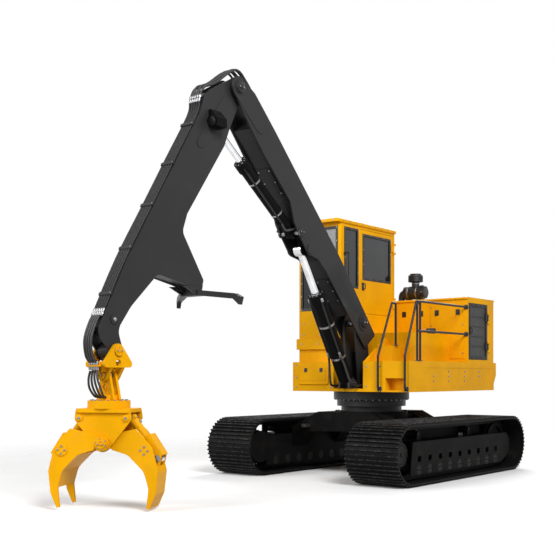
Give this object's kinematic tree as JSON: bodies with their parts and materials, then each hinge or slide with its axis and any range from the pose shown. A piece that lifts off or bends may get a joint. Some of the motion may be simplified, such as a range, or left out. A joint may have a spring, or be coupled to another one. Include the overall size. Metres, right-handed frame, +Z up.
{
  "type": "tracked knuckle-boom log loader",
  "caption": "Tracked knuckle-boom log loader with a raised cab, slewing house, lift and stick cylinders, and a rotating bypass log grapple",
  "frame": {"origin": "on the ground under the slew axis", "axes": "+X forward along the boom, +Y to the left of the machine, +Z up"},
  "size_m": [9.0748, 3.685, 5.8638],
  "materials": {
    "yellow_paint": "satin",
    "black_paint": "satin",
    "dark_iron": "worn",
    "bare_steel": "worn",
    "chrome": "polished",
    "glass": "tinted",
    "black_plastic": "matte",
    "seat_cloth": "matte"
  },
  "bodies": {
    "undercarriage": {"track_left": "dark_iron", "track_right": "dark_iron", "track_frame_left": "black_paint", "track_frame_right": "black_paint", "bottom_rollers": "dark_iron", "carrier_rollers": "dark_iron", "sprockets": "dark_iron", "idlers": "dark_iron", "carbody": "black_paint", "tow_eyes": "black_paint", "slew_ring": "black_paint"},
    "house": {"house_ring": "black_paint", "deck": "yellow_paint", "counterweight": "yellow_paint", "mast": "black_paint", "mast_pins": "bare_steel", "engine_house": "yellow_paint", "engine_roof": "yellow_paint", "cooler_core": "black_paint", "engine": "dark_iron", "air_cleaner": "black_plastic", "tank": "yellow_paint", "step_box": "yellow_paint", "handrails": "black_paint", "cab_riser": "yellow_paint", "cab_shell": "yellow_paint", "cab_roof": "yellow_paint", "cab_glass": "glass", "operator_seat": "seat_cloth", "control_pods": "black_plastic"},
    "boom": {"boom": "black_paint", "boom_pins": "bare_steel"},
    "lift_barrel": {"lift_barrel": "black_paint"},
    "lift_rod": {"lift_rod": "chrome"},
    "stick_barrel": {"stick_barrel": "black_paint"},
    "stick_rod": {"stick_rod": "chrome"},
    "stick": {"stick": "black_paint", "heel_bar": "black_paint"},
    "hanger": {"hanger_link": "yellow_paint", "hanger_pins": "bare_steel"},
    "rotator": {"rotator": "yellow_paint"},
    "grapple_head": {"grapple_head": "yellow_paint", "grapple_pins": "bare_steel"},
    "jaw_left": {"jaw_left": "yellow_paint"},
    "jaw_right": {"jaw_right": "yellow_paint"},
    "ram_barrel_left": {"ram_barrel_left": "yellow_paint"},
    "ram_rod_left": {"ram_rod_left": "chrome"},
    "ram_barrel_right": {"ram_barrel_right": "yellow_paint"},
    "ram_rod_right": {"ram_rod_right": "chrome"},
    "cab_door": {"cab_door": "yellow_paint", "door_glass": "glass"},
    "cooler_door": {"cooler_door": "black_paint"},
    "tool_door": {"tool_door": "yellow_paint"}
  },
  "joints": [
    {"name": "slew", "type": "hinge", "parent": "undercarriage", "child": "house", "pos_m": [0, 0, 1.244], "axis": [0, 0, 1], "continuous": true},
    {"name": "boom_lift", "type": "hinge", "parent": "house", "child": "boom", "pos_m": [0.54, 0, 2.535], "axis": [0, -1, 0], "range_deg": [-45, 25]},
    {"name": "stick_swing", "type": "hinge", "parent": "boom", "child": "stick", "pos_m": [3.7, 0, 5.712], "axis": [0, 1, 0], "range_deg": [-50, 30]},
    {"name": "lift_barrel_pivot", "type": "hinge", "parent": "house", "child": "lift_barrel", "pos_m": [0.746, 0, 1.538], "axis": [0, -1, 0], "range_deg": [-33.27, 18.53]},
    {"name": "lift_rod_slide", "type": "slide", "parent": "lift_barrel", "child": "lift_rod", "axis": [0.5282, 0, 0.8491], "range_m": [-0.63055, 0.35075]},
    {"name": "stick_barrel_pivot", "type": "hinge", "parent": "boom", "child": "stick_barrel", "pos_m": [2.26798, 0, 3.84503], "axis": [0, 1, 0], "range_deg": [-0.557, 0.374]},
    {"name": "stick_rod_slide", "type": "slide", "parent": "stick_barrel", "child": "stick_rod", "axis": [0.8047, 0, 0.5937], "range_m": [-0.33324, 0.55473]},
    {"name": "hanger_swing", "type": "hinge", "parent": "stick", "child": "hanger", "pos_m": [5.938, 0, 1.95], "axis": [0, 1, 0], "range_deg": [-55, 55]},
    {"name": "rotator_swing", "type": "hinge", "parent": "hanger", "child": "rotator", "pos_m": [5.938, 0, 1.653], "axis": [1, 0, 0], "range_deg": [-40, 40]},
    {"name": "grapple_turn", "type": "hinge", "parent": "rotator", "child": "grapple_head", "pos_m": [5.938, 0, 1.244], "axis": [0, 0, 1], "continuous": true},
    {"name": "jaw_left_swing", "type": "hinge", "parent": "grapple_head", "child": "jaw_left", "pos_m": [5.938, 0, 0.816], "axis": [0.891, 0.454, 0], "range_deg": [-35, 12]},
    {"name": "jaw_right_swing", "type": "hinge", "parent": "grapple_head", "child": "jaw_right", "pos_m": [5.938, 0, 0.816], "axis": [-0.891, -0.454, 0], "range_deg": [-35, 12]},
    {"name": "ram_barrel_left_pivot", "type": "hinge", "parent": "grapple_head", "child": "ram_barrel_left", "pos_m": [5.8018, 0.2673, 1.13], "axis": [0.891, 0.454, 0], "range_deg": [-27.7, 9.56]},
    {"name": "ram_rod_left_slide", "type": "slide", "parent": "ram_barrel_left", "child": "ram_rod_left", "axis": [-0.2664, 0.5228, -0.8098], "range_m": [-0.08559, 0.24773]},
    {"name": "ram_barrel_right_pivot", "type": "hinge", "parent": "grapple_head", "child": "ram_barrel_right", "pos_m": [6.0742, -0.2673, 1.13], "axis": [-0.891, -0.454, 0], "range_deg": [-27.7, 9.56]},
    {"name": "ram_rod_right_slide", "type": "slide", "parent": "ram_barrel_right", "child": "ram_rod_right", "axis": [0.2664, -0.5228, -0.8098], "range_m": [-0.08559, 0.24773]},
    {"name": "cab_door_swing", "type": "hinge", "parent": "house", "child": "cab_door", "pos_m": [-1.144, -0.253, 3.4825], "axis": [0, 0, 1], "range_deg": [0, 85]},
    {"name": "cooler_door_swing", "type": "hinge", "parent": "house", "child": "cooler_door", "pos_m": [-2.059, 1.1923, 2.4375], "axis": [0, 0, 1], "range_deg": [0, 110]},
    {"name": "tool_door_swing", "type": "hinge", "parent": "house", "child": "tool_door", "pos_m": [0.7243, -0.71, 1.507], "axis": [0, 1, 0], "range_deg": [0, 90]}
  ],
  "couplings": [
    {"joint": "lift_barrel_pivot", "follows": "boom_lift", "ratio": 0.7372},
    {"joint": "lift_rod_slide", "follows": "boom_lift", "m_per_rad": 0.80157},
    {"joint": "stick_barrel_pivot", "follows": "stick_swing", "ratio": 0.00914},
    {"joint": "stick_rod_slide", "follows": "stick_swing", "m_per_rad": -0.63452},
    {"joint": "jaw_right_swing", "follows": "jaw_left_swing", "ratio": 1},
    {"joint": "ram_barrel_left_pivot", "follows": "jaw_left_swing", "ratio": 0.78859},
    {"joint": "ram_rod_left_slide", "follows": "jaw_left_swing", "m_per_rad": -0.4039},
    {"joint": "ram_barrel_right_pivot", "follows": "jaw_left_swing", "ratio": 0.78859},
    {"joint": "ram_rod_right_slide", "follows": "jaw_left_swing", "m_per_rad": -0.4039}
  ]
}
